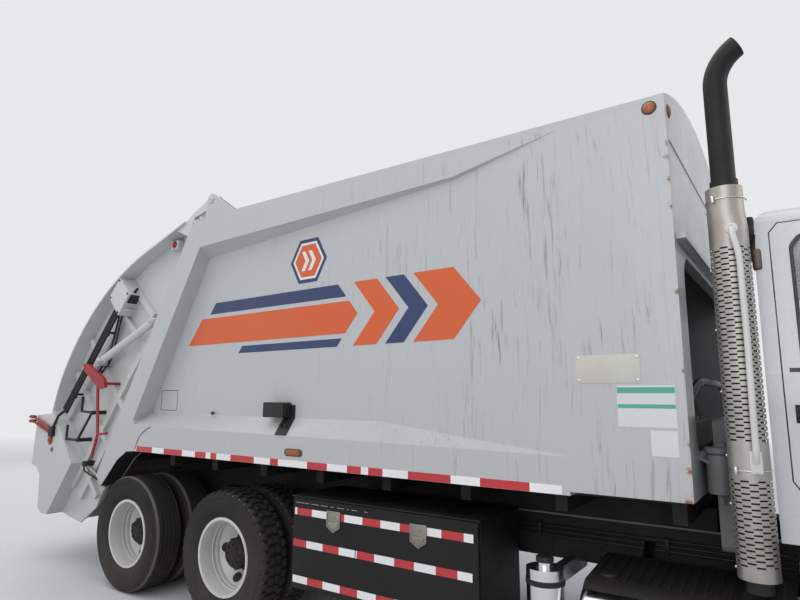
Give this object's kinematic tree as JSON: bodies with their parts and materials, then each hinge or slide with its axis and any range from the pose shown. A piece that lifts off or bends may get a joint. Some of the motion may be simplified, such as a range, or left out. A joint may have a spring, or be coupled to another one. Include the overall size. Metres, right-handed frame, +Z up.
{
  "type": "rear loader garbage truck",
  "caption": "Conventional-cab refuse truck with a ribbed rear-loading tailgate, packer, ejector panel, tandem axles, side toolbox and exhaust stack.",
  "frame": {"origin": "on the ground, at the middle of the truck's length and width", "axes": "+X forward to the cab, +Y to the driver's left, +Z up"},
  "size_m": [10.1, 2.86, 3.63],
  "materials": {
    "white_paint": "faded white enamel with dirt streaks",
    "cab_paint": "white gloss enamel",
    "black_steel": "black chassis paint, dusty",
    "toolbox_black": "black enamel, scratched",
    "tyre": "worn rubber, dusty",
    "wheel_white": "white enamel",
    "engine_grey": "painted casting",
    "glass": "clear",
    "seat_vinyl": "grained vinyl",
    "dash_plastic": "grained",
    "stack_black": "heat resistant matt black",
    "shield_steel": "heat browned stainless",
    "tank_aluminium": "polished",
    "reservoir_grey": "grey enamel",
    "ejector_paint": "worn and dirty",
    "cylinder_chrome": "hard chrome rod",
    "prop_red": "red enamel, worn",
    "worn_steel": "abraded by use",
    "grille_black": "moulded",
    "bumper_steel": "white enamel"
  },
  "bodies": {
    "chassis": {"frame_rails": "black_steel", "rear_bogie": "black_steel", "front_axle": "black_steel", "powertrain": "engine_grey", "bumper": "bumper_steel", "cab_shell": "cab_paint", "cab_glass": "glass", "seats": "seat_vinyl", "dashboard": "dash_plastic", "exhaust_pipe": "stack_black", "exhaust_shield": "shield_steel", "tanks": "tank_aluminium", "cab_steps": "black_steel", "toolbox": "toolbox_black", "reservoir": "reservoir_grey", "body_floor": "black_steel", "body_side_left": "white_paint", "body_side_right": "white_paint", "body_roof": "white_paint", "body_bulkhead": "white_paint", "ejector_barrel": "ejector_paint", "work_lamp": "black_steel"},
    "wheel_rear_left": {"tyres_rear_left": "tyre", "rims_rear_left": "wheel_white"},
    "wheel_rear_right": {"tyres_rear_right": "tyre", "rims_rear_right": "wheel_white"},
    "wheel_middle_left": {"tyres_middle_left": "tyre", "rims_middle_left": "wheel_white"},
    "wheel_middle_right": {"tyres_middle_right": "tyre", "rims_middle_right": "wheel_white"},
    "wheel_front_left": {"tyre_front_left": "tyre", "rim_front_left": "wheel_white"},
    "wheel_front_right": {"tyre_front_right": "tyre", "rim_front_right": "wheel_white"},
    "knuckle_left": {"knuckle_left": "black_steel"},
    "knuckle_right": {"knuckle_right": "black_steel"},
    "tie_rod": {"tie_rod": "black_steel"},
    "door_left": {"door_left": "cab_paint", "door_glass_left": "glass"},
    "door_right": {"door_right": "cab_paint", "door_glass_right": "glass"},
    "hood": {"hood": "cab_paint", "grille": "grille_black"},
    "toolbox_door": {"toolbox_door": "toolbox_black"},
    "tailgate": {"tailgate_side_left": "white_paint", "tailgate_side_right": "white_paint", "tailgate_cover": "white_paint", "hopper_floor": "worn_steel", "tailgate_fittings": "stack_black", "tailgate_prop": "prop_red"},
    "packer_carriage": {"packer_carriage": "white_paint"},
    "packer_blade": {"packer_blade": "worn_steel"},
    "lift_barrels": {"lift_barrels": "white_paint"},
    "lift_rods": {"lift_rods": "cylinder_chrome"},
    "ejector_panel": {"ejector_panel": "ejector_paint"},
    "ejector_stage_1": {"ejector_stage_1": "cylinder_chrome"},
    "ejector_stage_2": {"ejector_stage_2": "cylinder_chrome"}
  },
  "joints": [
    {"name": "wheel_rear_left_spin", "type": "hinge", "parent": "chassis", "child": "wheel_rear_left", "pos_m": [-2.95, 0.931, 0.508], "axis": [0, 1, 0], "continuous": true},
    {"name": "wheel_rear_right_spin", "type": "hinge", "parent": "chassis", "child": "wheel_rear_right", "pos_m": [-2.95, -0.931, 0.508], "axis": [0, 1, 0], "continuous": true},
    {"name": "wheel_middle_left_spin", "type": "hinge", "parent": "chassis", "child": "wheel_middle_left", "pos_m": [-1.58, 0.931, 0.508], "axis": [0, 1, 0], "continuous": true},
    {"name": "wheel_middle_right_spin", "type": "hinge", "parent": "chassis", "child": "wheel_middle_right", "pos_m": [-1.58, -0.931, 0.508], "axis": [0, 1, 0], "continuous": true},
    {"name": "steer_left", "type": "hinge", "parent": "chassis", "child": "knuckle_left", "pos_m": [3.95, 0.85, 0.508], "axis": [0, 0, 1], "range_deg": [-32, 32]},
    {"name": "steer_right", "type": "hinge", "parent": "chassis", "child": "knuckle_right", "pos_m": [3.95, -0.85, 0.508], "axis": [0, 0, 1], "range_deg": [-32, 32]},
    {"name": "tie_rod_end", "type": "hinge", "parent": "knuckle_left", "child": "tie_rod", "pos_m": [3.62, 0.85, 0.418], "axis": [0, 0, 1], "range_deg": [-32, 32]},
    {"name": "wheel_front_left_spin", "type": "hinge", "parent": "knuckle_left", "child": "wheel_front_left", "pos_m": [3.95, 1.04, 0.508], "axis": [0, 1, 0], "continuous": true},
    {"name": "wheel_front_right_spin", "type": "hinge", "parent": "knuckle_right", "child": "wheel_front_right", "pos_m": [3.95, -1.04, 0.508], "axis": [0, 1, 0], "continuous": true},
    {"name": "door_left_open", "type": "hinge", "parent": "chassis", "child": "door_left", "pos_m": [3.2, 1.074, 1.36], "axis": [0, 0, -1], "range_deg": [0, 70]},
    {"name": "door_right_open", "type": "hinge", "parent": "chassis", "child": "door_right", "pos_m": [3.2, -1.074, 1.36], "axis": [0, 0, 1], "range_deg": [0, 70]},
    {"name": "hood_tilt", "type": "hinge", "parent": "chassis", "child": "hood", "pos_m": [4.875, 0, 0.871], "axis": [0, 1, 0], "range_deg": [0, 60]},
    {"name": "toolbox_door_drop", "type": "hinge", "parent": "chassis", "child": "toolbox_door", "pos_m": [-0.055, -1.206, 0.431], "axis": [1, 0, 0], "range_deg": [0, 90]},
    {"name": "tailgate_lift", "type": "hinge", "parent": "chassis", "child": "tailgate", "pos_m": [-1.98, 0, 3.54], "axis": [0, 1, 0], "range_deg": [0, 38]},
    {"name": "lift_barrels_swing", "type": "hinge", "parent": "chassis", "child": "lift_barrels", "pos_m": [-2.84, 0, 2.475], "axis": [0, 1, 0], "range_deg": [0, 57.76]},
    {"name": "lift_rods_extend", "type": "slide", "parent": "lift_barrels", "child": "lift_rods", "axis": [-0.9299, 0, -0.3679], "range_m": [0, 0.7708]},
    {"name": "packer_carriage_slide", "type": "slide", "parent": "tailgate", "child": "packer_carriage", "axis": [-0.65, 0, -0.76], "range_m": [0, 0.6]},
    {"name": "packer_blade_sweep", "type": "hinge", "parent": "packer_carriage", "child": "packer_blade", "pos_m": [-3.86, 0, 1.656], "axis": [0, 1, 0], "range_deg": [0, 108]},
    {"name": "ejector_push", "type": "slide", "parent": "chassis", "child": "ejector_panel", "axis": [-1, 0, 0], "range_m": [0, 3.2]},
    {"name": "ejector_stage_1_extend", "type": "slide", "parent": "chassis", "child": "ejector_stage_1", "axis": [-1, 0, 0], "range_m": [0, 1.067]},
    {"name": "ejector_stage_2_extend", "type": "slide", "parent": "chassis", "child": "ejector_stage_2", "axis": [-1, 0, 0], "range_m": [0, 2.134]}
  ],
  "couplings": [
    {"joint": "steer_right", "follows": "steer_left", "ratio": 1},
    {"joint": "tie_rod_end", "follows": "steer_left", "ratio": -1},
    {"joint": "lift_barrels_swing", "follows": "tailgate_lift", "ratio": 1.5194},
    {"joint": "lift_rods_extend", "follows": "tailgate_lift", "m_per_rad": 1.1614},
    {"joint": "ejector_stage_1_extend", "follows": "ejector_push", "ratio": 0.33333},
    {"joint": "ejector_stage_2_extend", "follows": "ejector_push", "ratio": 0.66667}
  ]
}
